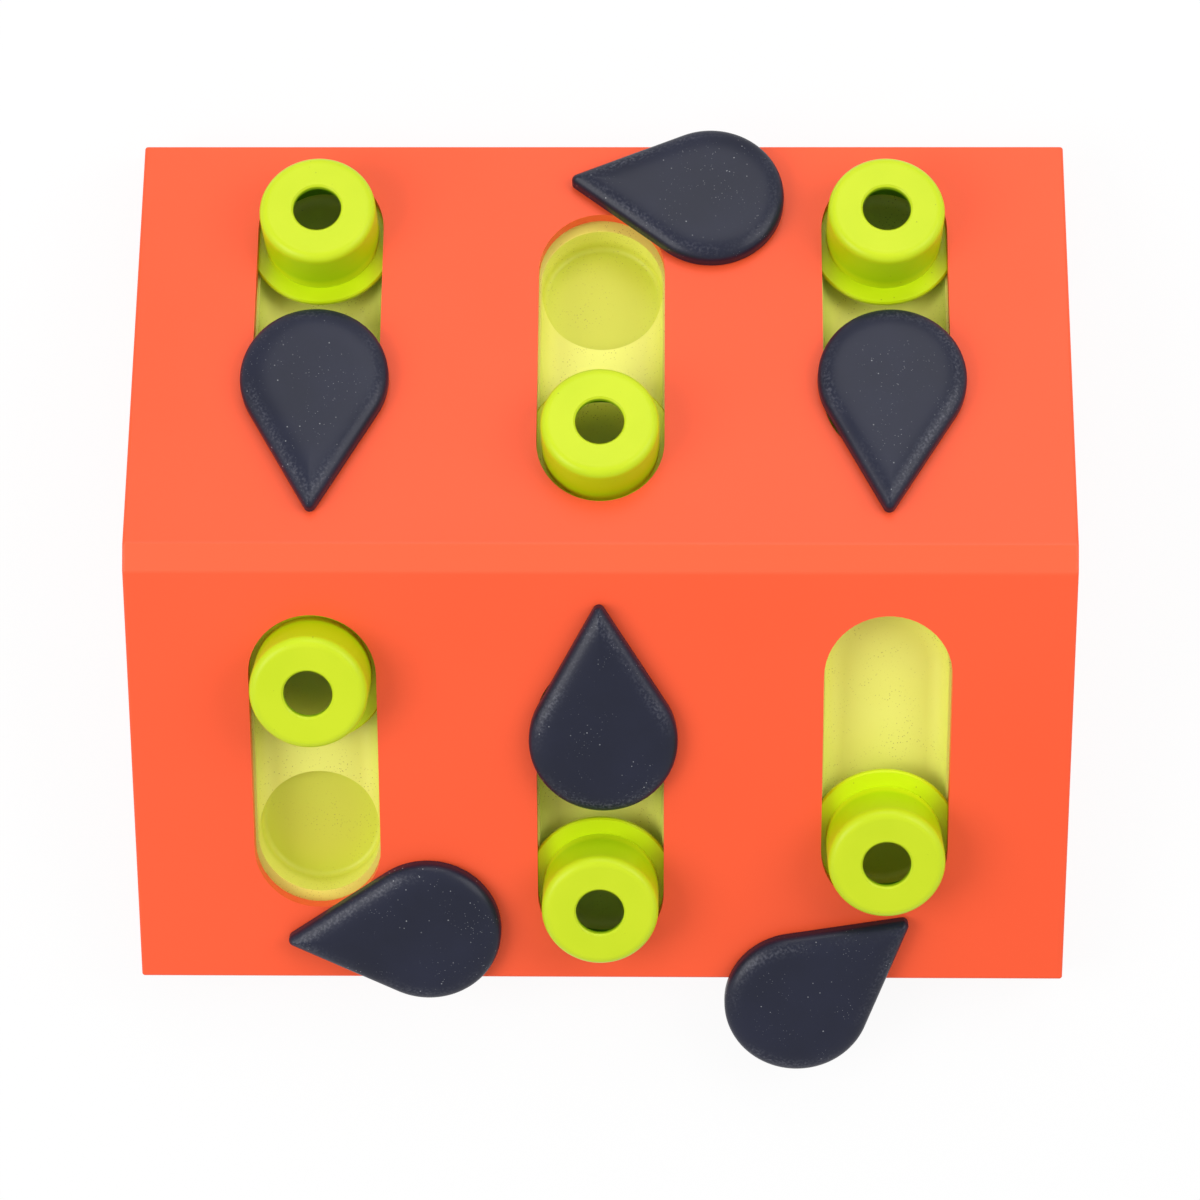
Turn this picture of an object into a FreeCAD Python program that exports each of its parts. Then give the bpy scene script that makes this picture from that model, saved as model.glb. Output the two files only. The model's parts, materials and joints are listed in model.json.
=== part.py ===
import FreeCAD, Part
import math
import os

from FreeCAD import Vector

os.makedirs("parts", exist_ok=True)

# Units are millimetres. Z is up, X runs along the ridge, +Y is the back slope.

# House-shaped shell
shell_width = 310.0
shell_depth = 280.0
slope_deg = 20.6
eave_height = 23.8
ridge_half_width = 4.4
panel = 3.0
edge_round = 1.0
rim_height = 1.0
stiffener_width = 2.0
stiffener_depth = 5.0

# One feeding station: a slot over a tray, a knob that slides along it and a lid that swings
column_pitch = 94.25
slot_radius = 21.0
slot_to_eave = 9.7
slot_to_ridge = 15.2
pivot_to_eave = 15.7
lip_wall = 1.6
lip_depth = 4.6
pivot_from_slot = 9.9

# Sliding knob
knob_top = 16.2
knob_wall = 2.4
knob_round = 3.0
knob_hole_radius = 8.0
knob_hole_edge = 0.6
flange_lap = 3.8
flange_thick = 2.2
flange_edge = 0.5
knob_stop_far = 0.5
knob_stop_cup = 2.0

# Tray with its trough and food cup
tray_wall = 1.8
trough_inset = 0.6
trough_depth = 14.0
trough_fillet = 6.5
trough_bevel = 4.0
cup_depth = 19.5
cup_fillet = 2.0
ear_radius = 4.0
ear_reach = 3.2
ear_y = 18.0

# Swinging lid with its stem
lid_radius = 24.45
lid_reach = 36.6
lid_tip_reach = 10.3
lid_tip_radius = 2.0
lid_thick = 7.6
lid_top_round = 3.4
lid_under_edge = 0.6
stem_radius = 2.4

# Pivot bush, washer and screws
bush_wall = 1.15
boss_wall = 1.5
washer_radius = 4.6
washer_thick = 1.0
screw_radius = 1.25
screw_head_radius = 2.3
screw_head_height = 1.4
pivot_screw_length = 7.0
tray_screw_length = 7.4

# Feet
foot_radius = 6.0
foot_recess = 0.8
foot_inset = 11.0
foot_pad = 19.0
foot_pad_thick = 3.0

# Clearances between pieces that move
running_clearance = 0.05
knob_side_gap = 1.7
slide_gap = 0.3
lid_gap = 0.4
flange_side_gap = 0.5

# Lid angles from closed in the stored pose
back_middle_lid_deg = 82.4
back_right_lid_deg = -2.2
front_left_lid_deg = -85.5
front_middle_lid_deg = 1.7
front_right_lid_deg = 129.3

# Half the difference between the front and the back overhang of the open lids
overhang_shift = 13.1

# Values that follow from the sizes above
slope = math.radians(slope_deg)
half_depth = shell_depth / 2
eave_z = rim_height + eave_height
ridge_z = eave_z + (half_depth - ridge_half_width) * math.tan(slope)
slope_length = (half_depth - ridge_half_width) / math.cos(slope)
slot_length = slope_length - slot_to_ridge - pivot_from_slot - pivot_to_eave
slot_end = slot_length / 2 - slot_radius
knob_far = -slot_end + knob_stop_far
knob_cup = slot_end - knob_stop_cup
knob_radius = slot_radius - knob_side_gap
flange_radius = slot_radius + flange_lap
flange_top = -lip_depth - slide_gap
flange_low = flange_top - flange_thick
fence_low = flange_low - slide_gap
fence_radius = flange_radius + flange_side_gap
rim_radius = fence_radius + tray_wall
rim_low = fence_low - tray_wall
ear_x = rim_radius + ear_reach
pivot_y = slot_end + slot_radius + pivot_from_slot
bush_inner = stem_radius + running_clearance
bush_outer = bush_inner + bush_wall
boss_low = fence_low + slide_gap
stem_low = fence_low - 2 * slide_gap

# Name, column, slope side (+1 back), cup end towards the ridge, lid angle, knob position
STATIONS = [
    ("back_left", -1, 1, True, 0.0, knob_far),
    ("back_middle", 0, 1, False, back_middle_lid_deg, knob_far),
    ("back_right", 1, 1, True, back_right_lid_deg, knob_far),
    ("front_left", -1, -1, False, front_left_lid_deg, knob_far),
    ("front_middle", 0, -1, True, front_middle_lid_deg, knob_far),
    ("front_right", 1, -1, False, front_right_lid_deg, knob_cup),
]


def station_placement(column, side, cup_at_ridge):
    """Frame of a station: origin mid slot on the panel, y towards the lid pivot, z outwards."""
    if cup_at_ridge:
        along = slope_length - slot_to_eave - slot_radius - slot_end
        turn = -1.0
    else:
        along = slot_to_ridge + slot_radius + slot_end
        turn = 1.0
    down = Vector(0, side * math.cos(slope), -math.sin(slope))
    z_axis = Vector(0, side * math.sin(slope), math.cos(slope))
    y_axis = down * turn
    x_axis = y_axis.cross(z_axis)
    ridge_edge = Vector(column * column_pitch, side * ridge_half_width, ridge_z)
    origin = ridge_edge + down * along
    return FreeCAD.Placement(origin, FreeCAD.Rotation(x_axis, y_axis, z_axis, "ZXY"))


def placed(shape, placement):
    copy = shape.copy()
    copy.Placement = placement.multiply(copy.Placement)
    return copy


def turned(shape, y, degrees):
    """Shape moved to y on the station axis after a turn about its own z axis."""
    copy = shape.copy()
    spin = FreeCAD.Rotation(Vector(0, 0, 1), degrees)
    copy.Placement = FreeCAD.Placement(Vector(0, y, 0), spin)
    return copy


def cylinder(radius, low, high, x=0.0, y=0.0):
    return Part.makeCylinder(radius, high - low, Vector(x, y, low))


def stadium(radius, y_low, y_high, low, high):
    """Prism with a round end at each y."""
    right_low = Vector(radius, y_low, low)
    right_high = Vector(radius, y_high, low)
    left_high = Vector(-radius, y_high, low)
    left_low = Vector(-radius, y_low, low)
    edges = [
        Part.makeLine(right_low, right_high),
        Part.Arc(right_high, Vector(0, y_high + radius, low), left_high).toShape(),
        Part.makeLine(left_high, left_low),
        Part.Arc(left_low, Vector(0, y_low - radius, low), right_low).toShape(),
    ]
    return Part.Face(Part.Wire(edges)).extrude(Vector(0, 0, high - low))


def edges_at(shape, z):
    """Edges that lie whole in the plane at height z."""
    found = []
    for edge in shape.Edges:
        box = edge.BoundBox
        if abs(box.ZMin - z) < 1e-4 and abs(box.ZMax - z) < 1e-4:
            found.append(edge)
    return found


def roof_profile(inset):
    """Outline of the house shape in the YZ plane, moved inwards by inset."""
    y_wall = half_depth - inset
    slant = inset / math.cos(slope)
    z_eave = eave_z + inset * math.tan(slope) - slant
    z_ridge = ridge_z - inset
    y_ridge = half_depth - (z_ridge - eave_z + slant) / math.tan(slope)
    return [
        (y_wall, rim_height),
        (y_wall, z_eave),
        (y_ridge, z_ridge),
        (-y_ridge, z_ridge),
        (-y_wall, z_eave),
        (-y_wall, rim_height),
    ]


def roof_prism(inset, x_low, x_high):
    points = [Vector(x_low, y, z) for y, z in roof_profile(inset)]
    wire = Part.makePolygon(points + [points[0]])
    return Part.Face(wire).extrude(Vector(x_high - x_low, 0, 0))


def upper_edges(shape):
    return [e for e in shape.Edges if e.BoundBox.ZMax > rim_height + edge_round]


def make_panel_shell():
    """Outer skin, its stiffening ribs and the corner pads for the feet."""
    half_width = shell_width / 2
    outer = roof_prism(0, -half_width, half_width)
    outer = outer.makeFillet(edge_round, upper_edges(outer))
    shell = outer.cut(roof_prism(panel, panel - half_width, half_width - panel))
    adds = []
    for x in (-column_pitch / 2, column_pitch / 2):
        x_low = x - stiffener_width / 2
        x_high = x + stiffener_width / 2
        rib = roof_prism(panel / 2, x_low, x_high)
        adds.append(rib.cut(roof_prism(panel + stiffener_depth, x_low, x_high)))
    cuts = []
    top = rim_height + foot_recess
    for sx in (-1, 1):
        for sy in (-1, 1):
            x = sx * (half_width - panel / 2 - foot_pad / 2)
            y = sy * (half_depth - panel / 2 - foot_pad / 2)
            corner = Vector(x - foot_pad / 2, y - foot_pad / 2, rim_height)
            adds.append(Part.makeBox(foot_pad, foot_pad, foot_pad_thick, corner))
            foot_x = sx * (half_width - foot_inset)
            foot_y = sy * (half_depth - foot_inset)
            cuts.append(cylinder(foot_radius, 0, top, foot_x, foot_y))
    return shell.multiFuse(adds).cut(Part.makeCompound(cuts))


def ear_spots():
    return [(sx * ear_x, sy * ear_y) for sx in (-1, 1) for sy in (-1, 1)]


def make_ear(x, y):
    """Round-ended tab with its screw hole left to cut, joined to the tray's rim."""
    inner = (fence_radius + rim_radius) / 2
    corner = Vector(min(x, math.copysign(inner, x)), y - ear_radius, rim_low)
    root = Part.makeBox(abs(x) - inner, 2 * ear_radius, tray_wall, corner)
    return root.fuse(cylinder(ear_radius, rim_low, fence_low, x, y))


def make_station_ribs():
    """What stands under the panel at a station: slot lip, flange fence, bosses."""
    root = -panel / 2
    lip_outer = slot_radius + lip_wall
    ribs = [stadium(lip_outer, -slot_end, slot_end, -lip_depth, root)]
    fence = stadium(rim_radius, knob_far, knob_cup, fence_low, root)
    fence = fence.cut(stadium(fence_radius, knob_far, knob_cup, fence_low, -panel))
    ribs.append(fence)
    ribs.append(cylinder(bush_outer + boss_wall, boss_low, root, 0, pivot_y))
    for x, y in ear_spots():
        ribs.append(cylinder(ear_radius, fence_low, root, x, y))
    channel = stadium(fence_radius, knob_far, knob_cup, fence_low, -lip_depth)
    return ribs[0].multiFuse(ribs[1:]).cut(channel)


def make_station_cuts():
    """What is cut through the panel at a station: slot, pivot hole, screw pilots."""
    above = panel
    cuts = [
        stadium(slot_radius, -slot_end, slot_end, -lip_depth, above),
        cylinder(bush_outer, boss_low, above, 0, pivot_y),
    ]
    pilot_high = rim_low + tray_screw_length
    for x, y in ear_spots():
        cuts.append(cylinder(screw_radius, fence_low, pilot_high, x, y))
    return Part.makeCompound(cuts)


def make_tray():
    """Trough that ends in a round food cup at the lid end, on a rim with four ears."""
    inner = slot_radius - trough_inset
    outer = inner + tray_wall
    trough_low = -trough_depth
    body = stadium(outer, -slot_end, knob_cup, trough_low - tray_wall, fence_low)
    body = body.makeChamfer(trough_bevel, edges_at(body, trough_low - tray_wall))
    cup = cylinder(outer, -cup_depth - tray_wall, fence_low, 0, knob_cup)
    cup = cup.makeChamfer(cup_fillet, edges_at(cup, -cup_depth - tray_wall))
    solids = [cup, stadium(rim_radius, knob_far, knob_cup, rim_low, fence_low)]
    solids.extend(make_ear(x, y) for x, y in ear_spots())
    holes = [cylinder(screw_radius, rim_low, fence_low, x, y) for x, y in ear_spots()]
    trough = stadium(inner, -slot_end, knob_cup, trough_low, fence_low)
    trough = trough.makeFillet(trough_fillet, edges_at(trough, trough_low))
    well = cylinder(inner, -cup_depth, fence_low, 0, knob_cup)
    well = well.makeFillet(cup_fillet, edges_at(well, -cup_depth))
    tray = body.multiFuse(solids).cut(trough.fuse(well))
    return tray.cut(Part.makeCompound(holes)).removeSplitter()


def make_knob():
    """Hollow cap on a wide flange, open below, with a round hole in its top."""
    cap = cylinder(knob_radius, flange_low, knob_top)
    cap = cap.makeFillet(knob_round, edges_at(cap, knob_top))
    flange = cylinder(flange_radius, flange_low, flange_top)
    flange = flange.makeChamfer(flange_edge, edges_at(flange, flange_low) + edges_at(flange, flange_top))
    hollow = cylinder(knob_radius - knob_wall, flange_low, knob_top - knob_wall)
    hole = cylinder(knob_hole_radius, flange_low, knob_top)
    knob = cap.fuse(flange).cut(hollow.fuse(hole))
    inside = knob_radius - knob_wall
    rim = [e for e in edges_at(knob, knob_top) if e.BoundBox.XMax < inside - knob_round]
    return knob.makeChamfer(knob_hole_edge, rim)


def drop_outline(z):
    """Raindrop: a large and a small arc joined by two tangent lines, pointing to +y."""
    small_y = lid_tip_reach - lid_tip_radius
    span = small_y + lid_reach
    sine = (lid_radius - lid_tip_radius) / span
    cosine = math.sqrt(1 - sine * sine)
    big_x = lid_radius * cosine
    big_y = -lid_reach + lid_radius * sine
    tip_x = lid_tip_radius * cosine
    tip_y = small_y + lid_tip_radius * sine
    edges = [
        Part.makeLine(Vector(big_x, big_y, z), Vector(tip_x, tip_y, z)),
        Part.Arc(Vector(tip_x, tip_y, z), Vector(0, lid_tip_reach, z), Vector(-tip_x, tip_y, z)).toShape(),
        Part.makeLine(Vector(-tip_x, tip_y, z), Vector(-big_x, big_y, z)),
        Part.Arc(
            Vector(-big_x, big_y, z),
            Vector(0, -lid_reach - lid_radius, z),
            Vector(big_x, big_y, z),
        ).toShape(),
    ]
    return Part.Wire(edges)


def make_lid():
    """Raindrop lid closed over the cup, its stem on the z axis."""
    lid_top = lid_gap + lid_thick
    slab = Part.Face(drop_outline(lid_gap)).extrude(Vector(0, 0, lid_thick))
    slab = slab.makeChamfer(lid_under_edge, edges_at(slab, lid_gap))
    slab = slab.makeFillet(lid_top_round, edges_at(slab, lid_top))
    stem = cylinder(stem_radius, stem_low, lid_gap + lid_thick / 2)
    pilot = cylinder(screw_radius, stem_low, stem_low - washer_thick + pivot_screw_length)
    return slab.fuse(stem).cut(pilot)


def make_bush():
    high = lid_gap - slide_gap
    low = stem_low + slide_gap
    return cylinder(bush_outer, low, high).cut(cylinder(bush_inner, low, high))


def make_washer():
    low = stem_low - washer_thick
    return cylinder(washer_radius, low, stem_low).cut(cylinder(screw_radius, low, stem_low))


def make_screw(seat, length, x=0.0, y=0.0):
    """Pan-head screw, head under the seat height, with a cross recess in the head."""
    head_low = seat - screw_head_height
    head = cylinder(screw_head_radius, head_low, seat, x, y)
    head = head.makeFillet(screw_head_height / 2, edges_at(head, head_low))
    shank = cylinder(screw_radius, seat, seat + length, x, y)
    arm = screw_head_radius
    slot = screw_head_height / 4
    depth = screw_head_height / 2
    bars = [
        Part.makeBox(arm, slot, depth, Vector(x - arm / 2, y - slot / 2, head_low)),
        Part.makeBox(slot, arm, depth, Vector(x - slot / 2, y - arm / 2, head_low)),
    ]
    return head.fuse(shank).cut(Part.makeCompound(bars))


def export(shape, node):
    shape = shape.copy()
    shape.translate(Vector(0, overhang_shift, 0))
    shape.exportStep("parts/" + node + ".step")


tray = make_tray()
knob = make_knob()
lid = make_lid()
bush = make_bush()
washer = make_washer()
pivot_screw = make_screw(stem_low - washer_thick, pivot_screw_length)
tray_screws = [make_screw(rim_low, tray_screw_length, x, y) for x, y in ear_spots()]
station_ribs = make_station_ribs()
station_cuts = make_station_cuts()

shell_adds = []
shell_cuts = []
screw_groups = {1: [], -1: []}
for name, column, side, cup_at_ridge, lid_deg, knob_y in STATIONS:
    place = station_placement(column, side, cup_at_ridge)
    shell_adds.append(placed(station_ribs, place))
    shell_cuts.append(placed(station_cuts, place))
    screw_groups[side].extend(placed(screw, place) for screw in tray_screws)
    export(placed(tray, place), name + "_tray")
    export(placed(turned(knob, knob_y, 0), place), name + "_knob")
    export(placed(turned(lid, pivot_y, lid_deg), place), name + "_lid")
    export(placed(turned(bush, pivot_y, 0), place), name + "_pivot_bush")
    export(placed(turned(washer, pivot_y, 0), place), name + "_pivot_washer")
    export(placed(turned(pivot_screw, pivot_y, lid_deg), place), name + "_pivot_screw")

shell = make_panel_shell().multiFuse(shell_adds)
for cut in shell_cuts:
    shell = shell.cut(cut)
export(shell.removeSplitter(), "shell")
export(Part.makeCompound(screw_groups[1]), "back_tray_screws")
export(Part.makeCompound(screw_groups[-1]), "front_tray_screws")

foot = cylinder(foot_radius, 0, rim_height + foot_recess)
foot = foot.makeChamfer(slide_gap, edges_at(foot, 0))
for y_name, sy in (("back", 1), ("front", -1)):
    for x_name, sx in (("left", -1), ("right", 1)):
        corner = foot.copy()
        corner.translate(Vector(sx * (shell_width / 2 - foot_inset), sy * (half_depth - foot_inset), 0))
        export(corner, y_name + "_" + x_name + "_foot")
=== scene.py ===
# %% [markdown]
# # A cat puzzle feeder in plastic
# The feeder is a low house-shaped shell with six slots in its two slopes. Behind each slot lies
# a tray with a food cup, a hollow knob slides along the slot, and a raindrop lid swings over the
# cup. The frame brings in the engineering solids, one object for each real piece. Their shapes
# are exact already, so most of this lesson is about finishes: how moulded plastic, soft-touch
# rubber and plated steel differ under the same light.

# %% Load the frame
import json
import math

import bmesh
import bpy
from mathutils import Matrix, Vector


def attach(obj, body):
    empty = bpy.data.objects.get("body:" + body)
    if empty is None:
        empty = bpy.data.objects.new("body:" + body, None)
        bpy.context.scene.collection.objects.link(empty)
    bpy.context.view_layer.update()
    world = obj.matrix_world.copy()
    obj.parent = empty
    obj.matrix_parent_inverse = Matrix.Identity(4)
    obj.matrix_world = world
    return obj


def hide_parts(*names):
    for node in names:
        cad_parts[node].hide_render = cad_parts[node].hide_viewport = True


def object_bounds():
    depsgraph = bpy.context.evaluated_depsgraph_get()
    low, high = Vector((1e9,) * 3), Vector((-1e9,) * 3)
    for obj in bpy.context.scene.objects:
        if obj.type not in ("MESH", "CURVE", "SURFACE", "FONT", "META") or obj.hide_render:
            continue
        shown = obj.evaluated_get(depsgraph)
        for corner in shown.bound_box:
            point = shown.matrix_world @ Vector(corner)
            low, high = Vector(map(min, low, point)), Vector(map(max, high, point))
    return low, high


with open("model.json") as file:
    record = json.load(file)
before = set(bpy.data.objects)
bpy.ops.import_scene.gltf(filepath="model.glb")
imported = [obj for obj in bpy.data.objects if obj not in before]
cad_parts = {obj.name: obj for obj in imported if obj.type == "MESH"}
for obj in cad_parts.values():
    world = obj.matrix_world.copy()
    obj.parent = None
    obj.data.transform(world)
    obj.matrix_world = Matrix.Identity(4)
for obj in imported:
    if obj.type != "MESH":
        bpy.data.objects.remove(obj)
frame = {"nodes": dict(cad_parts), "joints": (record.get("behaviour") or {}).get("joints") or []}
cad_low, cad_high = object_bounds()
nodes = frame["nodes"]
print("solids in the frame:", len(nodes))

# %% [markdown]
# ## The six stations
# Each slot with its tray, knob and lid is one station, such as back_left. The hinge of its lid
# stands square on the slope and starts on the slope's skin, so the joints of the frame give what
# every later step needs: the direction of each slope and the point where each lid pivots.

# %% Measure the stations
ACROSS = Vector((1, 0, 0))
slope_up = {}
pivot = {}
for joint in frame["joints"]:
    if joint["type"] == "hinge":
        station = joint["name"].removesuffix("_lid_swing")
        axis = Vector(joint["axis"])
        slope_up[station] = axis if axis.z > 0 else -axis
        pivot[station] = Vector(joint["pos_m"])


def middle_on_slope(points, up):
    """Middle of some points along the two directions of a slope, without a height."""
    place = Vector((0, 0, 0))
    for direction in (ACROSS, up.cross(ACROSS)):
        along = [point.dot(direction) for point in points]
        place += direction * (min(along) + max(along)) / 2
    return place


print("slope in degrees:", round(math.degrees(math.acos(slope_up["back_left"].z)), 2))

# %% [markdown]
# ## The camera
# The photograph looks almost straight down, from a little in front of the ridge. A long lens
# keeps the outline nearly square, and the two slopes narrow a little towards their eaves. The
# place, the small tilts and the focal length come from the corners of the shell in the picture.

# %% Place the camera
SENSOR_MM = 36.0
FOCAL_PIXELS = 3756.0
FRAME_PIXELS = 1200.0
CAMERA_PLACE = (0.0219, -0.0140, 1.2910)
CAMERA_TILTS_DEG = (0.64, 1.02, 0.13)
CAMERA_SEES_TO = 10.0

camera_data = bpy.data.cameras.new("camera")
camera_data.sensor_width = SENSOR_MM
camera_data.lens = FOCAL_PIXELS / FRAME_PIXELS * SENSOR_MM
camera_data.clip_end = CAMERA_SEES_TO
camera = bpy.data.objects.new("camera", camera_data)
camera.location = CAMERA_PLACE
camera.rotation_euler = [math.radians(tilt) for tilt in CAMERA_TILTS_DEG]
scene = bpy.context.scene
scene.collection.objects.link(camera)
scene.camera = camera
print("lens in mm:", round(camera_data.lens, 1))

# %% [markdown]
# ## Light, floor and background
# The picture was taken in a white tent: light from all round and no hard shadow. A pale world
# gives that even light, which many lamps in a ring would only come near. It has two levels. Rays
# that only light the feeder find the tent. Rays that show the background, seen directly, in a
# mirror or through glass, find plain white. Standard view keeps colours as they are written.

# %% Hang the tent
TENT_COLOR = (0.97, 0.98, 1.0, 1.0)
TENT_LEVEL = 0.56
WHITE = (1.0, 1.0, 1.0, 1.0)
scene.view_settings.view_transform = "Standard"


def white_ray_share(tree):
    """1 for rays that show the background: seen directly, in a mirror or through glass."""
    path = tree.nodes.new("ShaderNodeLightPath")
    total = path.outputs["Is Camera Ray"]
    for ray in ("Is Glossy Ray", "Is Transmission Ray"):
        either = tree.nodes.new("ShaderNodeMath")
        either.operation = "MAXIMUM"
        tree.links.new(total, either.inputs[0])
        tree.links.new(path.outputs[ray], either.inputs[1])
        total = either.outputs["Value"]
    return total


world = bpy.data.worlds.new("tent")
world.use_nodes = True
world_nodes = world.node_tree.nodes
world_links = world.node_tree.links
background = world_nodes["Background"]
background.inputs["Color"].default_value = TENT_COLOR
background.inputs["Strength"].default_value = TENT_LEVEL
seen_background = world_nodes.new("ShaderNodeBackground")
seen_background.inputs["Color"].default_value = WHITE
world_mix = world_nodes.new("ShaderNodeMixShader")
world_links.new(white_ray_share(world.node_tree), world_mix.inputs["Fac"])
world_links.new(background.outputs["Background"], world_mix.inputs[1])
world_links.new(seen_background.outputs["Background"], world_mix.inputs[2])
world_links.new(world_mix.outputs["Shader"], world_nodes["World Output"].inputs["Surface"])
scene.world = world
print("tent level:", TENT_LEVEL)

# %% [markdown]
# A tent alone would light both slopes alike. In the picture the back slope is lighter than the
# front one, and the left sides of the knobs are lighter than the right ones. So three large
# panels hang over the tent: the strongest on the left, one on the right, and a weak one behind.
# They are area lamps, because a small lamp would cast the hard shadows that a tent doesn't have.

# %% Hang the panels
PANELS = {
    # name: place, point it faces, width, height, watts
    "panel_back": ((0.08, 1.08, 1.06), (0, 0.02, 0.04), 0.9, 0.7, 4.4),
    "panel_left": ((-1.05, -0.18, 1.15), (0, 0, 0.04), 0.9, 0.9, 11.0),
    "panel_right": ((1.00, 0.30, 1.05), (0, 0, 0.04), 0.9, 0.9, 7.5),
}


def add_panel_light(name, place, target, width, height, watts):
    """A soft rectangular lamp that faces a point."""
    lamp_data = bpy.data.lights.new(name, "AREA")
    lamp_data.shape = "RECTANGLE"
    lamp_data.size = width
    lamp_data.size_y = height
    lamp_data.energy = watts
    lamp = bpy.data.objects.new(name, lamp_data)
    lamp.location = place
    facing = Vector(target) - Vector(place)
    lamp.rotation_euler = facing.to_track_quat("-Z", "Y").to_euler()
    scene.collection.objects.link(lamp)
    print(name, "in watts:", watts)


for name, values in PANELS.items():
    add_panel_light(name, *values)

# %% [markdown]
# The floor is a plain white sheet. Seen by the camera it is as white as the background, and it
# still takes the soft shadow of the feeder through the part that stays diffuse.

# %% Lay the floor
FLOOR_HALF = 3.0
FLOOR_COLOR = (0.86, 0.86, 0.86, 1.0)
FLOOR_WHITE_SHARE = 0.92


def make_floor_material():
    material = bpy.data.materials.new("floor_white")
    material.use_nodes = True
    tree = material.node_tree
    tree.nodes.clear()
    diffuse = tree.nodes.new("ShaderNodeBsdfDiffuse")
    diffuse.inputs["Color"].default_value = FLOOR_COLOR
    glow = tree.nodes.new("ShaderNodeEmission")
    glow.inputs["Color"].default_value = WHITE
    glow.inputs["Strength"].default_value = 1.0
    share = tree.nodes.new("ShaderNodeMath")
    share.operation = "MULTIPLY"
    share.inputs[1].default_value = FLOOR_WHITE_SHARE
    mix = tree.nodes.new("ShaderNodeMixShader")
    out = tree.nodes.new("ShaderNodeOutputMaterial")
    tree.links.new(white_ray_share(tree), share.inputs[0])
    tree.links.new(share.outputs["Value"], mix.inputs["Fac"])
    tree.links.new(diffuse.outputs["BSDF"], mix.inputs[1])
    tree.links.new(glow.outputs["Emission"], mix.inputs[2])
    tree.links.new(mix.outputs["Shader"], out.inputs["Surface"])
    return material


floor_mesh = bpy.data.meshes.new("floor")
corners = [(-1, -1), (1, -1), (1, 1), (-1, 1)]
floor_points = [(x * FLOOR_HALF, y * FLOOR_HALF, cad_low.z) for x, y in corners]
floor_mesh.from_pydata(floor_points, [], [(0, 1, 2, 3)])
floor_mesh.materials.append(make_floor_material())
floor = bpy.data.objects.new("floor", floor_mesh)
scene.collection.objects.link(floor)
print("floor half width in m:", FLOOR_HALF)

# %% [markdown]
# ## A small kit for plastics
# Every finish below starts from one Principled shader. The helpers add what moulded plastic
# shows from near by: a slow drift of the colour, a fine grain in the surface, and specks of dust
# or pigment. All of them read Object coordinates, so they stay on the piece when it moves.

# %% Start a finish


def start_finish(name, color, roughness, gloss=0.5):
    """A Principled material, with its tree and an Object coordinate output."""
    material = bpy.data.materials.new(name)
    material.use_nodes = True
    tree = material.node_tree
    shader = tree.nodes["Principled BSDF"]
    shader.inputs["Base Color"].default_value = (*color, 1.0)
    shader.inputs["Roughness"].default_value = roughness
    shader.inputs["Specular IOR Level"].default_value = gloss
    coords = tree.nodes.new("ShaderNodeTexCoord")
    return material, tree, shader, coords.outputs["Object"]


print("ready: a finish with one Principled shader")

# %% [markdown]
# No moulding has one colour all over: pigment flows with the plastic and leaves it a little
# lighter here and deeper there. Painted pictures could show that, but they fix how fine it can
# be. Here noise gives a value at each point, a ramp stretches it to the range that is wanted, and
# the result blends two colours.

# %% Noise, ramps and blends


def noise_value(tree, coords, scale, detail=2.0):
    noise = tree.nodes.new("ShaderNodeTexNoise")
    noise.inputs["Scale"].default_value = scale
    noise.inputs["Detail"].default_value = detail
    tree.links.new(coords, noise.inputs["Vector"])
    return noise.outputs["Fac"]


def ramp_value(tree, value, low, high, out_low=0.0, out_high=1.0):
    """Maps value from low..high to out_low..out_high, and holds it there."""
    ramp = tree.nodes.new("ShaderNodeMapRange")
    ramp.inputs["From Min"].default_value = low
    ramp.inputs["From Max"].default_value = high
    ramp.inputs["To Min"].default_value = out_low
    ramp.inputs["To Max"].default_value = out_high
    tree.links.new(value, ramp.inputs["Value"])
    return ramp.outputs["Result"]


def mix_colors(tree, factor, first, second):
    """Blends two colours, each a tuple or a socket."""
    mix = tree.nodes.new("ShaderNodeMix")
    mix.data_type = "RGBA"
    tree.links.new(factor, mix.inputs["Factor"])
    for socket, color in ((mix.inputs["A"], first), (mix.inputs["B"], second)):
        if isinstance(color, tuple):
            socket.default_value = (*color, 1.0)
        else:
            tree.links.new(color, socket)
    return mix.outputs["Result"]


def multiply(tree, first, second):
    product = tree.nodes.new("ShaderNodeMath")
    product.operation = "MULTIPLY"
    tree.links.new(first, product.inputs[0])
    tree.links.new(second, product.inputs[1])
    return product.outputs["Value"]


print("ready: noise, ramps and blends")

# %% [markdown]
# Specks are dust on the skin or dark pigment in it. Thousands of tiny objects would be heavy for
# what they show, so a mask in the material draws them. Grain is the even roughness that a mould
# leaves, far finer than a mesh can be, so it is a bump.

# %% Specks and grain
SPECK_CORE = 0.6


def speck_mask(tree, coords, cell, size, patch_scale, patch_low, patch_high):
    """White where a speck lies: one dot to a Voronoi cell, gathered in patches by a noise.

    cell is the distance between dots in metres, size the dot's share of a cell.
    """
    dots = tree.nodes.new("ShaderNodeTexVoronoi")
    dots.inputs["Scale"].default_value = 1.0 / cell
    dots.inputs["Randomness"].default_value = 1.0
    tree.links.new(coords, dots.inputs["Vector"])
    spot = ramp_value(tree, dots.outputs["Distance"], size, size * SPECK_CORE)
    patch = ramp_value(tree, noise_value(tree, coords, patch_scale), patch_low, patch_high)
    return multiply(tree, spot, patch)


def add_grain(tree, shader, coords, scale, height_mm, strength):
    """Fine moulding grain as a bump on the shader."""
    bump = tree.nodes.new("ShaderNodeBump")
    bump.inputs["Strength"].default_value = strength
    bump.inputs["Distance"].default_value = height_mm / 1000.0
    tree.links.new(noise_value(tree, coords, scale, detail=3.0), bump.inputs["Height"])
    tree.links.new(bump.outputs["Normal"], shader.inputs["Normal"])


print("ready: specks and grain")

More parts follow.
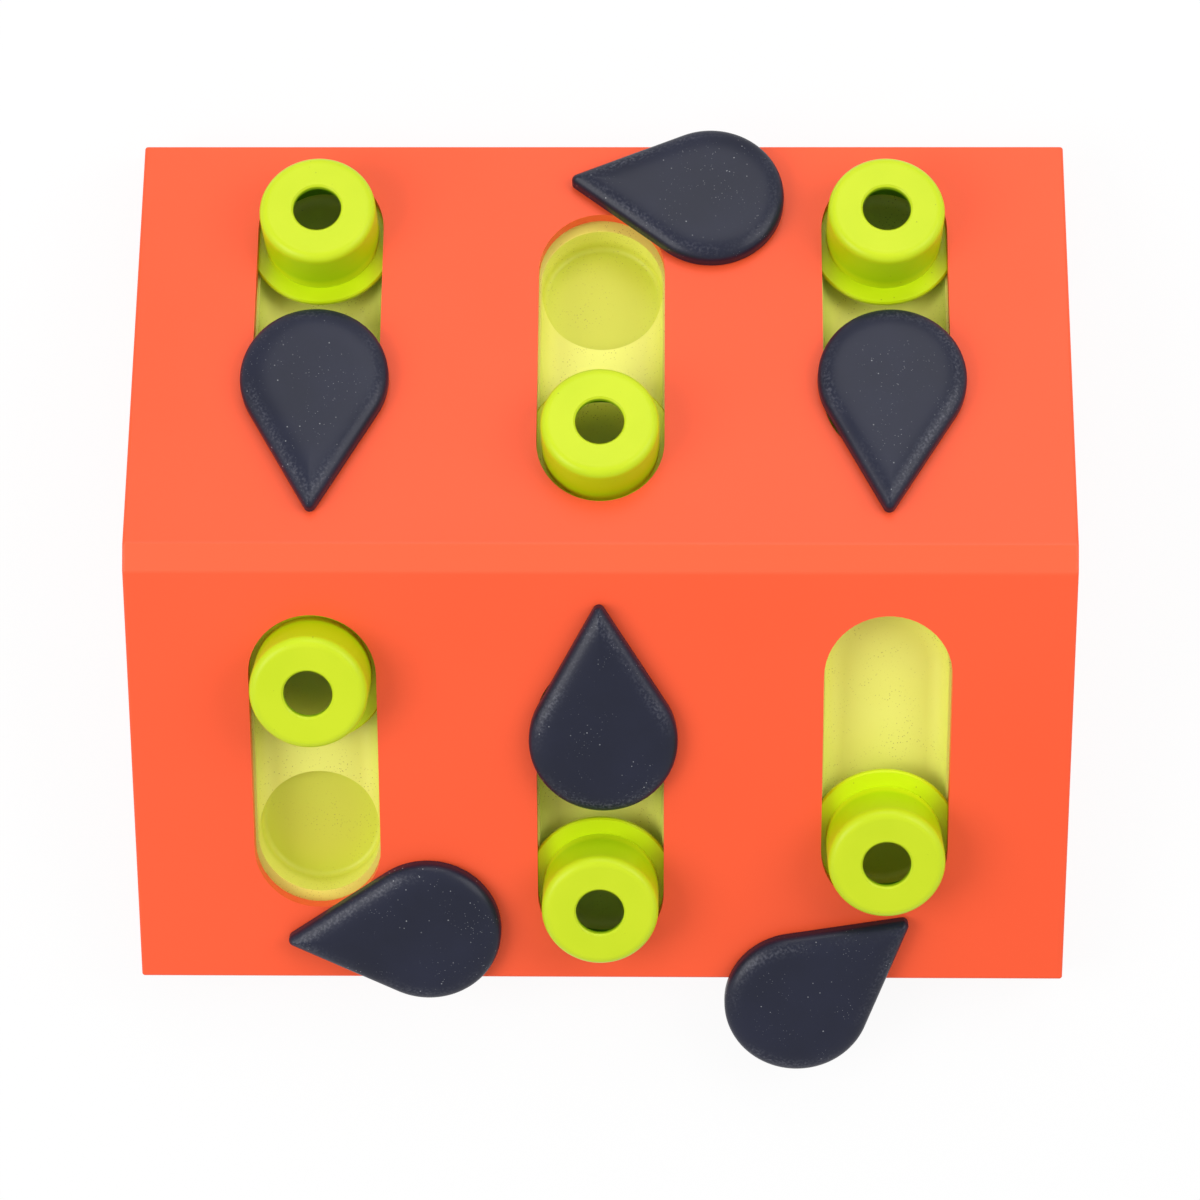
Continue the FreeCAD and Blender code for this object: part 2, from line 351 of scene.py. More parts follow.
# %% [markdown]
# ## The finishes
# Orange shell: a satin moulding. Its colour drifts very slightly over the wide slopes, and the
# skin has a fine even grain that breaks up reflections. The flat ridge faces straight up, and that
# band is painted a little paler: a painted highlight for the light that falls on it. Nothing else
# of the shell is that high, so the height finds it.

# %% Orange shell
SHELL_ORANGE = (0.960, 0.110, 0.038)
SHELL_ORANGE_DEEP = (0.940, 0.104, 0.034)
# painted highlight colour for the flat ridge band
SHELL_RIDGE_PAINTED_LIGHT = (0.960, 0.126, 0.048)
RIDGE_FADE = (0.0004, 0.0001)

shell_finish, tree, shader, coords = start_finish(
    "shell_orange_satin", SHELL_ORANGE, roughness=0.36, gloss=0.22
)
drift = ramp_value(tree, noise_value(tree, coords, scale=9.0), low=0.35, high=0.65)
base = mix_colors(tree, drift, SHELL_ORANGE, SHELL_ORANGE_DEEP)
shell_top = max(vertex.co.z for vertex in nodes["shell"].data.vertices)
split = tree.nodes.new("ShaderNodeSeparateXYZ")
tree.links.new(coords, split.inputs["Vector"])
# painted highlight: the ridge band is made paler for the light that falls on it
ridge = ramp_value(tree, split.outputs["Z"], *[shell_top - fade for fade in RIDGE_FADE])
tree.links.new(mix_colors(tree, ridge, base, SHELL_RIDGE_PAINTED_LIGHT), shader.inputs["Base Color"])
add_grain(tree, shader, coords, scale=900.0, height_mm=0.02, strength=0.35)
print("ridge height in mm:", round(shell_top * 1000, 2))

# %% [markdown]
# Trays: pale yellow-green plastic with tiny dark specks where crumbs collect. Down in the food
# cup less light reaches and it bounces from wall to wall, so the cup is painted a deeper colour:
# a painted shade that grows with the depth. The depth under the skin is all the mask needs: the
# distance to a slope is a dot product with the slope's direction, and the house is the same on
# both sides, so |y| serves both slopes.

# %% Yellow-green trays
TRAY_YELLOW = (0.865, 0.885, 0.180)
TRAY_YELLOW_DEEP = (0.830, 0.855, 0.148)
TRAY_SPECK = (0.490, 0.470, 0.075)
# painted shade colour for the deep food cup
TRAY_CUP_PAINTED_SHADE = (0.690, 0.730, 0.080)
CUP_STARTS = 0.0140
CUP_FLOOR = 0.0195


def depth_under_skin(tree, coords):
    """Distance below the skin of the slope, in metres, the same on both sides of the ridge."""
    back, front = pivot["back_middle"], pivot["front_left"]
    up = slope_up["back_middle"]
    middle = (back.y + front.y) / 2
    split = tree.nodes.new("ShaderNodeSeparateXYZ")
    tree.links.new(coords, split.inputs["Vector"])
    total = back.z * up.z + (back.y - middle) * up.y
    value = split.outputs["Y"]
    for operation, amount in (("SUBTRACT", middle), ("ABSOLUTE", 0.0), ("MULTIPLY", up.y)):
        step = tree.nodes.new("ShaderNodeMath")
        step.operation = operation
        tree.links.new(value, step.inputs[0])
        step.inputs[1].default_value = amount
        value = step.outputs["Value"]
    height = tree.nodes.new("ShaderNodeMath")
    height.operation = "MULTIPLY_ADD"
    tree.links.new(split.outputs["Z"], height.inputs[0])
    height.inputs[1].default_value = up.z
    tree.links.new(value, height.inputs[2])
    depth = tree.nodes.new("ShaderNodeMath")
    depth.operation = "SUBTRACT"
    depth.inputs[0].default_value = total
    tree.links.new(height.outputs["Value"], depth.inputs[1])
    return depth.outputs["Value"]


tray_finish, tree, shader, coords = start_finish(
    "tray_yellow_satin", TRAY_YELLOW, roughness=0.38, gloss=0.28
)
drift = ramp_value(tree, noise_value(tree, coords, scale=30.0), low=0.35, high=0.7)
base = mix_colors(tree, drift, TRAY_YELLOW, TRAY_YELLOW_DEEP)
# painted shade: the colour deepens with depth below the skin, down into the cup
cup_painted_shade = ramp_value(tree, depth_under_skin(tree, coords), CUP_STARTS, CUP_FLOOR)
base = mix_colors(tree, cup_painted_shade, base, TRAY_CUP_PAINTED_SHADE)
specks = speck_mask(
    tree, coords, cell=0.0010, size=0.22, patch_scale=75.0, patch_low=0.42, patch_high=0.66
)
tree.links.new(mix_colors(tree, specks, base, TRAY_SPECK), shader.inputs["Base Color"])
add_grain(tree, shader, coords, scale=700.0, height_mm=0.02, strength=0.3)
print("the cup colour is full from mm below the skin:", CUP_FLOOR * 1000)

# %% [markdown]
# Knobs: smooth lime plastic, glossier than the shell because paws and noses polish it. Their
# colour carries painted light along the height: the top is painted pale for the sheen it catches,
# the flange under the shell is painted brighter for the light that reaches into the slot, and the
# side wall is painted a deeper, shaded green. Three materials would meet in hard lines, so a
# colour ramp along the height sets these tones and lets them run into each other.

# %% Painted light on a knob
# painted light: a pale sheened top, a shaded side and a lit flange
KNOB_TOP_PAINTED_SHEEN = (0.600, 0.725, 0.018)
KNOB_SIDE_PAINTED_SHADE = (0.470, 0.740, 0.003)
KNOB_FLANGE_PAINTED_LIGHT = (0.630, 0.820, 0.006)
TONES_START = -0.0040
FLANGE_SKIN = -0.0020
SIDE_STARTS = 0.0005
TOP_FADE = 0.0045


def knob_painted_light(tree, height, top):
    """Painted light along the height above the slope's skin: a lit flange, a shaded side, a
    sheened top.
    """
    # painted light and shade at each height of the knob
    stops = (
        (FLANGE_SKIN, KNOB_FLANGE_PAINTED_LIGHT),
        (SIDE_STARTS, KNOB_SIDE_PAINTED_SHADE),
        (top - TOP_FADE, KNOB_SIDE_PAINTED_SHADE),
        (top, KNOB_TOP_PAINTED_SHEEN),
    )
    tones = tree.nodes.new("ShaderNodeValToRGB")
    elements = tones.color_ramp.elements
    while len(elements) < len(stops):
        elements.new(0.5)
    for element, (level, color) in zip(elements, stops):
        element.position = (level - TONES_START) / (top - TONES_START)
        element.color = (*color, 1.0)
    tree.links.new(ramp_value(tree, height, TONES_START, top), tones.inputs["Fac"])
    return tones.outputs["Color"]


print("the side tone starts in mm above the slope:", SIDE_STARTS * 1000)

# %% [markdown]
# Light that comes out of a knob's hollow has crossed the wall twice and is dim, so the inside is
# painted the deepest green: a painted shade in the hollow. Each knob has its own copy of the
# finish, because height and inside are measured from that knob's axis. The cross product of the
# axis with the way to a point is as long as the distance.

# %% Lime knobs
KNOB_DEEP = (0.430, 0.600, 0.003)
# painted shade colour for the inside of the hollow
KNOB_HOLLOW_PAINTED_SHADE = (0.170, 0.400, 0.002)
KNOB_SPECK = (0.330, 0.420, 0.020)
KNOB_BORE = 0.0169
KNOB_CEILING = 0.0138
BORE_FADE = (0.0006, 0.0002)
CEILING_FADE = 0.0016


def vector_math(tree, operation, first, second):
    """One step on vectors: first is a socket, second a fixed vector."""
    node = tree.nodes.new("ShaderNodeVectorMath")
    node.operation = operation
    tree.links.new(first, node.inputs[0])
    node.inputs[1].default_value = second
    return node


def make_knob_finish(station):
    finish, tree, shader, coords = start_finish(
        "knob_lime_" + station, KNOB_SIDE_PAINTED_SHADE, roughness=0.33, gloss=0.20
    )
    up = slope_up[station]
    points = [vertex.co for vertex in nodes[station + "_knob"].data.vertices]
    skin = pivot[station].dot(up)
    foot = middle_on_slope(points, up) + up * skin
    top = max(point.dot(up) for point in points) - skin
    way = vector_math(tree, "SUBTRACT", coords, foot).outputs["Vector"]
    across = vector_math(tree, "CROSS_PRODUCT", way, up).outputs["Vector"]
    distance = vector_math(tree, "LENGTH", across, up).outputs["Value"]
    height = vector_math(tree, "DOT_PRODUCT", way, up).outputs["Value"]
    drift = ramp_value(
        tree, noise_value(tree, coords, scale=40.0), low=0.35, high=0.7, out_high=0.25
    )
    base = mix_colors(tree, drift, knob_painted_light(tree, height, top), KNOB_DEEP)
    specks = speck_mask(
        tree, coords, cell=0.0032, size=0.085, patch_scale=45.0, patch_low=0.52, patch_high=0.60
    )
    base = mix_colors(tree, specks, base, KNOB_SPECK)
    # painted shade: inside the bore and under the ceiling the knob is painted deep green
    narrow = ramp_value(tree, distance, *[KNOB_BORE + fade for fade in BORE_FADE])
    below = ramp_value(tree, height, KNOB_CEILING + CEILING_FADE, KNOB_CEILING)
    base = mix_colors(tree, multiply(tree, narrow, below), base, KNOB_HOLLOW_PAINTED_SHADE)
    tree.links.new(base, shader.inputs["Base Color"])
    add_grain(tree, shader, coords, scale=500.0, height_mm=0.015, strength=0.2)
    return finish


knob_finishes = {station + "_knob": make_knob_finish(station) for station in slope_up}
print("knob finishes:", len(knob_finishes))

# %% [markdown]
# Lids: dark slate with a soft-touch skin. It picks up pale dust, coarse and fine, in loose
# patches. The shoulder is paler here and there: partly scuffs where paws push the lid, partly a
# painted highlight for the sheen the shoulder catches. Its band comes from an attribute that the
# lid's mesh will carry.

# %% Slate lids
LID_SLATE = (0.0058, 0.0076, 0.0212)
LID_SLATE_PALE = (0.0096, 0.0118, 0.0305)
# pale colour for shoulder wear and painted sheen
LID_WEAR_AND_SHEEN = (0.060, 0.063, 0.086)
LID_DUST = (0.260, 0.270, 0.290)
LID_COAT = 0.20
LID_COAT_ROUGHNESS = 0.24

lid_finish, tree, shader, coords = start_finish(
    "lid_slate_soft", LID_SLATE, roughness=0.42, gloss=0.18
)
drift = ramp_value(tree, noise_value(tree, coords, scale=38.0, detail=4.0), low=0.35, high=0.7)
base = mix_colors(tree, drift, LID_SLATE, LID_SLATE_PALE)
band = tree.nodes.new("ShaderNodeAttribute")
band.attribute_name = "wear_and_sheen"
streaks = ramp_value(
    tree, noise_value(tree, coords, scale=1100.0, detail=5.0), low=0.46, high=0.66
)
places = ramp_value(tree, noise_value(tree, coords, scale=32.0), low=0.40, high=0.60)
# painted highlight and wear: the shoulder band is made paler in patches
wear_and_sheen_places = multiply(tree, band.outputs["Fac"], places)
base = mix_colors(tree, multiply(tree, wear_and_sheen_places, streaks), base, LID_WEAR_AND_SHEEN)
fine_dust = speck_mask(
    tree, coords, cell=0.0011, size=0.12, patch_scale=70.0, patch_low=0.48, patch_high=0.64
)
base = mix_colors(tree, fine_dust, base, LID_DUST)
dust = speck_mask(
    tree, coords, cell=0.0030, size=0.09, patch_scale=55.0, patch_low=0.47, patch_high=0.61
)
tree.links.new(mix_colors(tree, dust, base, LID_DUST), shader.inputs["Base Color"])
shader.inputs["Coat Weight"].default_value = LID_COAT
shader.inputs["Coat Roughness"].default_value = LID_COAT_ROUGHNESS
add_grain(tree, shader, coords, scale=650.0, height_mm=0.03, strength=0.4)
print("nodes in the lid finish:", len(tree.nodes))

# %% [markdown]
# Small parts below the shell: white bushes, zinc-plated screws and washers, black rubber feet.
# Zinc is metal, so its colour is all reflection, and a cloudy mix of two greys keeps it from
# looking like a mirror. Rubber is rough and has the coarsest grain of all.

# %% Bushes, screws and feet
BUSH_WHITE = (0.80, 0.80, 0.77)
ZINC = (0.66, 0.67, 0.70)
ZINC_DULL = (0.50, 0.51, 0.52)
FOOT_BLACK = (0.030, 0.030, 0.032)

bush_finish, tree, shader, coords = start_finish("bush_white", BUSH_WHITE, roughness=0.38)
add_grain(tree, shader, coords, scale=900.0, height_mm=0.01, strength=0.2)

screw_finish, tree, shader, coords = start_finish("screw_zinc", ZINC, roughness=0.32)
shader.inputs["Metallic"].default_value = 1.0
cloud = ramp_value(tree, noise_value(tree, coords, scale=600.0, detail=4.0), low=0.3, high=0.7)
tree.links.new(mix_colors(tree, cloud, ZINC, ZINC_DULL), shader.inputs["Base Color"])

foot_finish, tree, shader, coords = start_finish("foot_rubber", FOOT_BLACK, roughness=0.75)
add_grain(tree, shader, coords, scale=450.0, height_mm=0.05, strength=0.6)
print("small finishes:", bush_finish.name, screw_finish.name, foot_finish.name)

# %% [markdown]
# ## Give each solid its finish
# Node names end in what the piece is, so a short table sends each one to its material. Only the
# knobs are looked up by their full names.

# %% Assign the finishes
FINISH_BY_ENDING = {
    "shell": shell_finish,
    "_tray": tray_finish,
    "_lid": lid_finish,
    "_bush": bush_finish,
    "_washer": screw_finish,
    "_screw": screw_finish,
    "_screws": screw_finish,
    "_foot": foot_finish,
}
finished = 0
for name, piece in nodes.items():
    endings = [finish for ending, finish in FINISH_BY_ENDING.items() if name.endswith(ending)]
    piece.data.materials.clear()
    piece.data.materials.append(knob_finishes[name] if name in knob_finishes else endings[0])
    finished += 1
print("solids with a finish:", finished, "of", len(nodes))

# %% [markdown]
# ## Lids with a crowned top
# A lid is one thick moulding in the shape of a raindrop, with a short stem below its point. Seen
# from near by, its top isn't flat up to a round edge: it falls away slowly over the outer
# centimetre and then faster and faster down to the wall, which gives the broad soft highlight.
# The solid has a plain round edge, so each lid is built again here. The outline is moved inwards
# step by step, and each step is a ring of the mesh. Rings keep the crown even all round, where
# sculpting or a subdivided box would swell the tip. The size of the drop is that of the solid.

# %% Rings of a raindrop
LID_RADIUS = 0.02445
LID_REACH = 0.0366
TIP_REACH = 0.0103
TIP_RADIUS = 0.0020
LID_THICK = 0.0076
UNDER_EDGE = 0.0006
CROWN_WIDTH = 0.0125
CROWN_DROP = 0.0046
CROWN_FALL = 3
CROWN_ROUND = 0.444
CROWN_RINGS = 20
TIP_STEPS = 8
SIDE_STEPS = 24
BIG_STEPS = 40
# where the band of wear and painted sheen lies on the shoulder, and how wide it is
WEAR_AND_SHEEN_MIDDLE = 0.0030
WEAR_AND_SHEEN_SPREAD = 0.0016


def drop_ring(inset):
    """The raindrop moved inwards by inset, tip towards +y, as points in the plane."""
    tip_y = TIP_REACH - TIP_RADIUS
    sine = (LID_RADIUS - TIP_RADIUS) / (tip_y + LID_REACH)
    side = math.asin(sine)
    big = LID_RADIUS - inset
    small = TIP_RADIUS - inset
    ridge_y = big / sine - LID_REACH
    quarter = math.pi / 2
    tip_arc = [quarter + (side - quarter) * k / TIP_STEPS for k in range(TIP_STEPS + 1)]
    big_arc = [side - (side + quarter) * k / BIG_STEPS for k in range(BIG_STEPS + 1)]
    right = [(small * math.cos(a), tip_y + small * math.sin(a)) for a in tip_arc]
    first = right[-1]
    last = (big * math.cos(side), big * math.sin(side) - LID_REACH)
    for k in range(1, SIDE_STEPS):
        share = k / SIDE_STEPS
        right.append(tuple(a + (b - a) * share for a, b in zip(first, last)))
    right += [(big * math.cos(a), big * math.sin(a) - LID_REACH) for a in big_arc]
    if small < 0:  # no room for the round tip: its points fall on the ridge line
        right = [(0.0, ridge_y) if x < 1e-9 and y > -LID_REACH else (x, y) for x, y in right]
    left = [(-x, y) for x, y in right[-2:0:-1]]
    return right + left


def crown_height(inset):
    """Height of the lid's skin at a distance from its outline."""
    rest = max(0.0, 1.0 - inset / CROWN_WIDTH)
    return LID_THICK - CROWN_DROP + CROWN_DROP * (1.0 - rest**CROWN_FALL) ** CROWN_ROUND


insets = [CROWN_WIDTH * (k / CROWN_RINGS) ** 2 for k in range(CROWN_RINGS + 1)]
ring_plan = [(UNDER_EDGE, 0.0), (0.0, UNDER_EDGE)] + [(d, crown_height(d)) for d in insets]
print("height 3 mm inside the outline, in mm:", round(crown_height(0.003) * 1000, 2))

# %% [markdown]
# The rings are joined by quads and closed by two flat faces. Where the moved outline has no room
# for the round tip any more, its points fall together on a ridge line, and merging them turns
# those quads into clean triangles. The stem is a separate closed post that starts in the lid.

# %% Build one lid
STEM_RADIUS = 0.0024
STEM_SEGMENTS = 32
LID_SHARP_DEG = 32
MERGE_DISTANCE = 1e-6


def ring_to_ring(bm, lower, upper):
    """A band of quads between two rings of the same number of vertices."""
    for k in range(len(lower)):
        after = (k + 1) % len(lower)
        bm.faces.new((lower[k], lower[after], upper[after], upper[k]))


def wear_and_sheen_at(inset, height):
    """How much wear and painted sheen the skin carries: a soft band along the shoulder, none
    below.
    """
    if height <= UNDER_EDGE:
        return 0.0
    return math.exp(-(((inset - WEAR_AND_SHEEN_MIDDLE) / WEAR_AND_SHEEN_SPREAD) ** 2))


def make_lid_mesh(name, stem_depth):
    bm = bmesh.new()
    # a band of wear and painted sheen along the shoulder
    wear_and_sheen = bm.verts.layers.float.new("wear_and_sheen")
    rings = []
    for inset, height in ring_plan:
        ring = [bm.verts.new((x, y, height)) for x, y in reversed(drop_ring(inset))]
        for vertex in ring:
            vertex[wear_and_sheen] = wear_and_sheen_at(inset, height)
        rings.append(ring)
    for lower, upper in zip(rings, rings[1:]):
        ring_to_ring(bm, lower, upper)
    bm.faces.new(list(reversed(rings[0])))
    bm.faces.new(rings[-1])
    bmesh.ops.remove_doubles(bm, verts=bm.verts, dist=MERGE_DISTANCE)
    bmesh.ops.create_cone(
        bm,
        cap_ends=True,
        segments=STEM_SEGMENTS,
        radius1=STEM_RADIUS,
        radius2=STEM_RADIUS,
        depth=stem_depth + LID_THICK / 2,
        matrix=Matrix.Translation((0, 0, (LID_THICK / 2 - stem_depth) / 2)),
    )
    bmesh.ops.recalc_face_normals(bm, faces=bm.faces)
    mesh = bpy.data.meshes.new(name)
    bm.to_mesh(mesh)
    bm.free()
    mesh.shade_smooth()
    mesh.set_sharp_from_angle(angle=math.radians(LID_SHARP_DEG))
    mesh.materials.append(lid_finish)
    return mesh


print("rings in a lid:", len(ring_plan), "with points each:", len(drop_ring(0.0)))

# %% [markdown]
# Where each lid lies is read from its solid. The point of the solid that is furthest from the
# pivot is the middle of the round end, so the way from there to the pivot is where the tip points.

# %% Place the lids


def lid_placement(station):
    """Where the solid lid lies: its underside, its pivot and the way it points."""
    up = slope_up[station]
    ways = [vertex.co - pivot[station] for vertex in nodes[station + "_lid"].data.vertices]
    heights = [way.dot(up) for way in ways]
    flat = [way - up * way.dot(up) for way in ways]
    reach = max(way.length for way in flat)
    ends = [way for way in flat if way.length > reach - MERGE_DISTANCE]
    away = -sum(ends, Vector()).normalized()
    turn = Matrix((away.cross(up), away, up)).transposed().to_4x4()
    under = max(heights) - LID_THICK
    return Matrix.Translation(pivot[station] + up * under) @ turn, under - min(heights)


for station in slope_up:
    place, stem_depth = lid_placement(station)
    mesh = make_lid_mesh(station + "_lid_crowned", stem_depth)
    mesh.transform(place)
    lid = bpy.data.objects.new(station + "_lid_crowned", mesh)
    scene.collection.objects.link(lid)
    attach(lid, station + "_lid")
    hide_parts(station + "_lid")
    print(lid.name, "faces:", len(mesh.polygons))

# %% [markdown]
# ## Screws by Geometry Nodes
# Twenty-four small pan-head screws hold the trays, and six more hold the lids from below. All are
# the same form, so one model is made with care: a domed head with a tapered cross recess, cut by
# a boolean, on a short shank. A node tree then sets a copy on every spot, square to its slope,
# each with its own chance turn of the recess, because no one lines screws up when driving them.

# %% Turn head and shank
HEAD_RADIUS = 0.0023
HEAD_HEIGHT = 0.0014
SHANK_RADIUS = 0.00125
HEAD_PROFILE = (
    # radius and height, as shares of the head's
    (0.0, -1.0),
    (0.42, -0.98),
    (0.72, -0.86),
    (0.90, -0.64),
    (0.985, -0.34),
    (1.0, -0.06),
    (0.98, 0.0),
)
POINT_LENGTH = 0.0008
SPIN_STEPS = 32
SPIN_MERGE = 1e-7


def spin_screw(length):
    """Head and shank in one turned form: seat at the origin, shank up the z axis."""
    outline = [(r * HEAD_RADIUS, z * HEAD_HEIGHT) for r, z in HEAD_PROFILE]
    outline += [(SHANK_RADIUS, 0.0), (SHANK_RADIUS, length - POINT_LENGTH)]
    outline += [(SHANK_RADIUS / 2, length), (0.0, length)]
    bm = bmesh.new()
    spun = [bm.verts.new((r, 0, z)) for r, z in outline]
    edges = [bm.edges.new(pair) for pair in zip(spun, spun[1:])]
    bmesh.ops.spin(
        bm,
        geom=spun + edges,
        axis=(0, 0, 1),
        cent=(0, 0, 0),
        steps=SPIN_STEPS,
        angle=math.tau,
    )
    bmesh.ops.remove_doubles(bm, verts=bm.verts, dist=SPIN_MERGE)
    bmesh.ops.recalc_face_normals(bm, faces=bm.faces)
    return bm


print("points in the profile of a head:", len(HEAD_PROFILE))

# %% [markdown]
# The driver's tip goes into two crossed slots that taper towards their bottom. Each slot is a
# block, made narrower at that end, and a boolean takes both out of the head. Drawing the cross
# into the faces of the head would ask for much more care and give the same form.

# %% Blocks for the recess
RECESS_DEPTH = 0.0009
RECESS_MOUTH = (0.0026, 0.0005, -HEAD_HEIGHT - 0.0002)
RECESS_BOTTOM = (0.0009, 0.0003, RECESS_DEPTH - HEAD_HEIGHT)


def object_from_bmesh(bm, name):
    """A new object in the scene with what bm holds; bm goes away."""
    mesh = bpy.data.meshes.new(name)
    bm.to_mesh(mesh)
    bm.free()
    made = bpy.data.objects.new(name, mesh)
    scene.collection.objects.link(made)
    return made


def make_recess_cutter(name, angle):
    """One slot of the cross: wide at the face of the head and narrow at its bottom."""
    bm = bmesh.new()
    bmesh.ops.create_cube(bm, size=1.0)
    for vertex in bm.verts:
        long_side, width, z = RECESS_BOTTOM if vertex.co.z > 0 else RECESS_MOUTH
        vertex.co = (vertex.co.x * long_side, vertex.co.y * width, z)
    bm.transform(Matrix.Rotation(angle, 4, "Z"))
    return object_from_bmesh(bm, name)


print("depth of the recess in mm:", round(RECESS_DEPTH * 1000, 2))

# %% [markdown]
# A modifier is only a recipe until it is evaluated. The blocks go away after the cut, so the
# evaluated head and shank are kept as a plain mesh. The two kinds of screw differ in length.

# %% Model the two screws
TRAY_SCREW_LENGTH = 0.0074
PIVOT_SCREW_LENGTH = 0.0070
SCREW_SHARP_DEG = 35


def plain_mesh(source, name):
    """The evaluated mesh of an object, modifiers and all; the object goes away."""
    depsgraph = bpy.context.evaluated_depsgraph_get()
    mesh = bpy.data.meshes.new_from_object(source.evaluated_get(depsgraph), depsgraph=depsgraph)
    mesh.name = name
    bpy.data.objects.remove(source)
    return mesh


def make_screw_model(name, length):
    screw = object_from_bmesh(spin_screw(length), name)
    cutters = [make_recess_cutter(name + "_recess", angle) for angle in (0.0, math.pi / 2)]
    for cutter in cutters:
        cut = screw.modifiers.new("recess", "BOOLEAN")
        cut.operation = "DIFFERENCE"
        cut.object = cutter
    mesh = plain_mesh(screw, name)
    for cutter in cutters:
        bpy.data.objects.remove(cutter)
    mesh.shade_smooth()
    mesh.set_sharp_from_angle(angle=math.radians(SCREW_SHARP_DEG))
    model = bpy.data.objects.new(name, mesh)
    scene.collection.objects.link(model)
    print(name, "faces:", len(mesh.polygons))
    return model


tray_screw = make_screw_model("tray_screw_model", TRAY_SCREW_LENGTH)
pivot_screw = make_screw_model("pivot_screw_model", PIVOT_SCREW_LENGTH)

# %% [markdown]
# The tree takes the spots as loose points. Each point carries its slope's tilt as an attribute,
# so one tree serves both slopes. The seed is fixed, and every run turns the heads the same way.

# %% The tree that sets screws


def value_socket(sockets, name):
    """The socket for plain numbers, where a node has one of the same name for vectors."""
    return [socket for socket in sockets if socket.name == name and socket.type == "VALUE"][0]


def make_screw_tree():
    tree = bpy.data.node_groups.new("set_screws", "GeometryNodeTree")
    face = tree.interface
    face.new_socket(name="Spots", in_out="INPUT", socket_type="NodeSocketGeometry")
    face.new_socket(name="Screw", in_out="INPUT", socket_type="NodeSocketObject")
    face.new_socket(name="Finish", in_out="INPUT", socket_type="NodeSocketMaterial")
    face.new_socket(name="Seed", in_out="INPUT", socket_type="NodeSocketInt")
    face.new_socket(name="Screws", in_out="OUTPUT", socket_type="NodeSocketGeometry")
    add = tree.nodes.new
    start, end = add("NodeGroupInput"), add("NodeGroupOutput")
    model = add("GeometryNodeObjectInfo")
    tilt = add("GeometryNodeInputNamedAttribute")
    tilt.data_type = "FLOAT_VECTOR"
    tilt.inputs["Name"].default_value = "tilt"
    tilt_rotation = add("FunctionNodeEulerToRotation")
    instance = add("GeometryNodeInstanceOnPoints")
    chance = add("FunctionNodeRandomValue")
    chance.data_type = "FLOAT"
    value_socket(chance.inputs, "Min").default_value = 0.0
    value_socket(chance.inputs, "Max").default_value = math.pi / 2
    spin = add("ShaderNodeCombineXYZ")
    spin_rotation = add("FunctionNodeEulerToRotation")
    rotate = add("GeometryNodeRotateInstances")
    rotate.inputs["Local Space"].default_value = True
    realize = add("GeometryNodeRealizeInstances")
    paint = add("GeometryNodeSetMaterial")
    link = tree.links.new
    link(start.outputs["Screw"], model.inputs["Object"])
    link(start.outputs["Spots"], instance.inputs["Points"])
    link(model.outputs["Geometry"], instance.inputs["Instance"])
    link(tilt.outputs["Attribute"], tilt_rotation.inputs[0])
    link(tilt_rotation.outputs[0], instance.inputs["Rotation"])
    link(start.outputs["Seed"], chance.inputs["Seed"])
    link(value_socket(chance.outputs, "Value"), spin.inputs["Z"])
    link(spin.outputs["Vector"], spin_rotation.inputs[0])
    link(instance.outputs["Instances"], rotate.inputs["Instances"])
    link(spin_rotation.outputs[0], rotate.inputs["Rotation"])
    link(rotate.outputs["Instances"], realize.inputs["Geometry"])
    link(realize.outputs["Geometry"], paint.inputs["Geometry"])
    link(start.outputs["Finish"], paint.inputs["Material"])
    link(paint.outputs["Geometry"], end.inputs["Screws"])
    return tree


screw_tree = make_screw_tree()
print("nodes in the tree:", len(screw_tree.nodes))

# %% [markdown]
# The spots come from the solids: each loose part of a screw node is one screw. Its middle across
# the slope gives the place, and its lowest point plus the height of the head gives the seat.

# %% Find the spots


def loose_parts(mesh):
    """The points of each part of a mesh that hangs together."""
    bm = bmesh.new()
    bm.from_mesh(mesh)
    bmesh.ops.remove_doubles(bm, verts=bm.verts, dist=MERGE_DISTANCE)
    left = set(bm.verts)
    parts = []
    while left:
        waiting = [left.pop()]
        part = []
        while waiting:
            vertex = waiting.pop()
            part.append(vertex.co.copy())
            for edge in vertex.link_edges:
                other = edge.other_vert(vertex)
                if other in left:
                    left.remove(other)
                    waiting.append(other)
        parts.append(part)
    bm.free()
    return parts


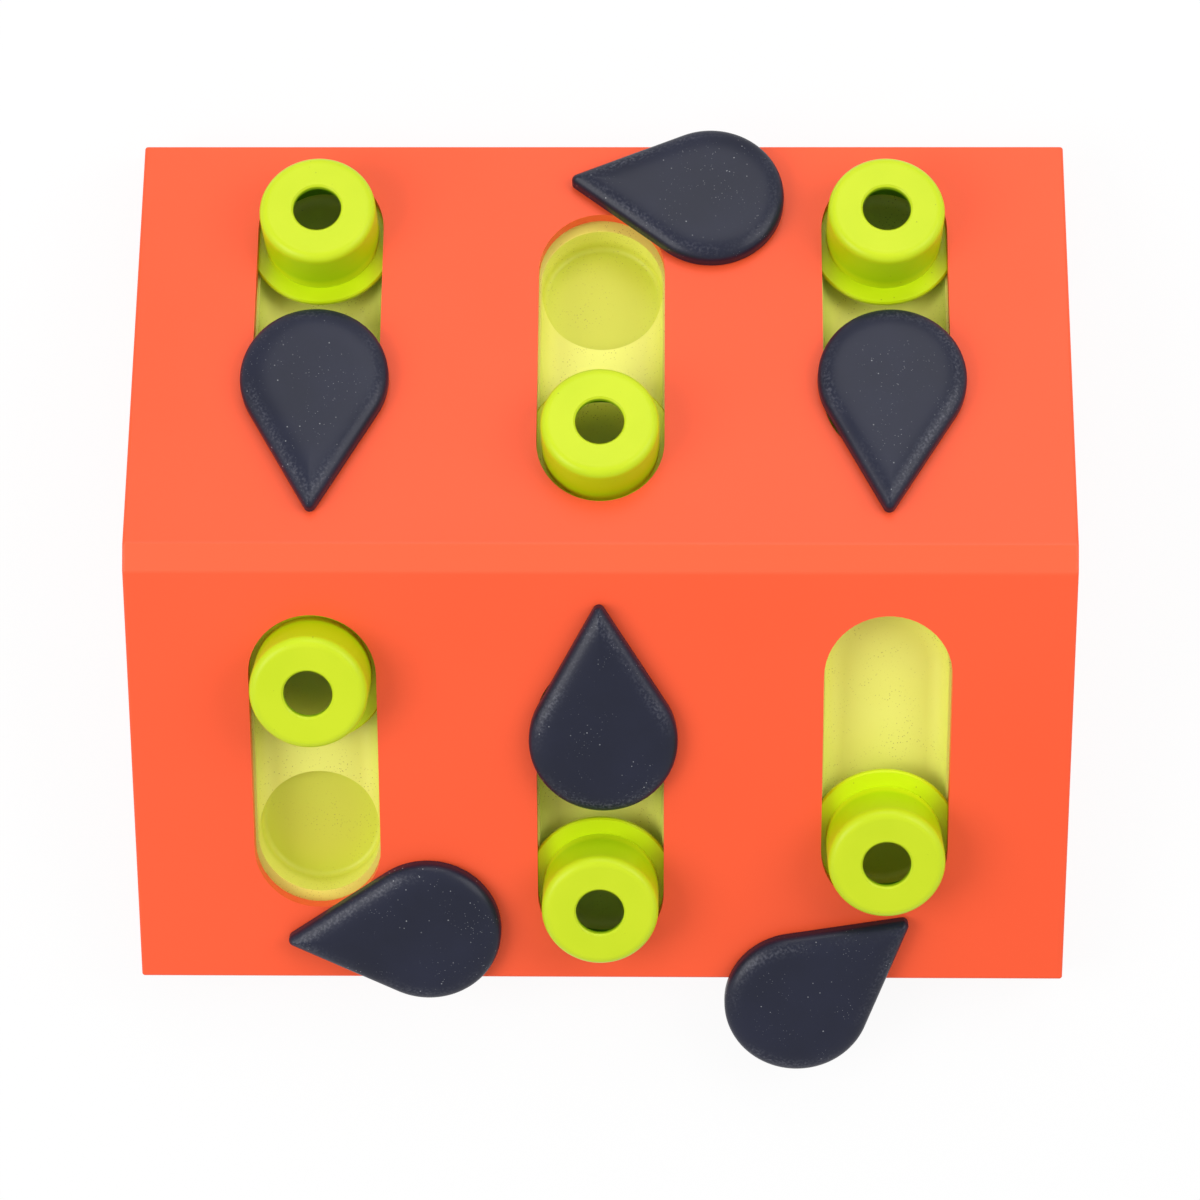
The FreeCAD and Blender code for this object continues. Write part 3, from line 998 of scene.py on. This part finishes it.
def screw_spots(node, up):
    """Seat of each screw in a node, with the tilt of its slope."""
    tilt = (-math.atan2(up.y, up.z), 0.0, 0.0)
    spots = []
    for part in loose_parts(nodes[node].data):
        seat = min(point.dot(up) for point in part) + HEAD_HEIGHT
        spots.append((middle_on_slope(part, up) + up * seat, tilt))
    return sorted(spots, key=lambda spot: tuple(round(value, 6) for value in spot[0]))


tray_spots = screw_spots("back_tray_screws", slope_up["back_left"])
tray_spots += screw_spots("front_tray_screws", slope_up["front_left"])
print("tray screws found:", len(tray_spots))

# %% [markdown]
# Each group of screws is one piece for one body. The tray screws stay with the shell. A pivot
# screw turns with its lid, so it has a piece of its own. The result of the tree is turned into a
# plain mesh, and the loose points and the two models go away.

# %% Set the screws
TRAY_SCREWS_SEED = 3


def set_screws(name, spots, model, seed, body, replaced):
    mesh = bpy.data.meshes.new(name + "_spots")
    mesh.from_pydata([place for place, tilt in spots], [], [])
    attribute = mesh.attributes.new("tilt", "FLOAT_VECTOR", "POINT")
    for entry, (place, tilt) in zip(attribute.data, spots):
        entry.vector = tilt
    source = bpy.data.objects.new(name + "_spots", mesh)
    scene.collection.objects.link(source)
    modifier = source.modifiers.new("set_screws", "NODES")
    modifier.node_group = screw_tree
    values = {"Screw": model, "Finish": screw_finish, "Seed": seed}
    for item in screw_tree.interface.items_tree:
        if item.in_out == "INPUT" and item.name in values:
            modifier[item.identifier] = values[item.name]
    screws = bpy.data.objects.new(name, plain_mesh(source, name))
    scene.collection.objects.link(screws)
    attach(screws, body)
    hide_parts(*replaced)
    print(name, "screws:", len(spots), "faces:", len(screws.data.polygons))


set_screws(
    "tray_screws_set",
    tray_spots,
    tray_screw,
    TRAY_SCREWS_SEED,
    "housing",
    ["back_tray_screws", "front_tray_screws"],
)
for seed, station in enumerate(slope_up):
    node = station + "_pivot_screw"
    spots = screw_spots(node, slope_up[station])
    set_screws(node + "_set", spots, pivot_screw, seed, station + "_lid", [node])
for model in (tray_screw, pivot_screw):
    bpy.data.objects.remove(model)
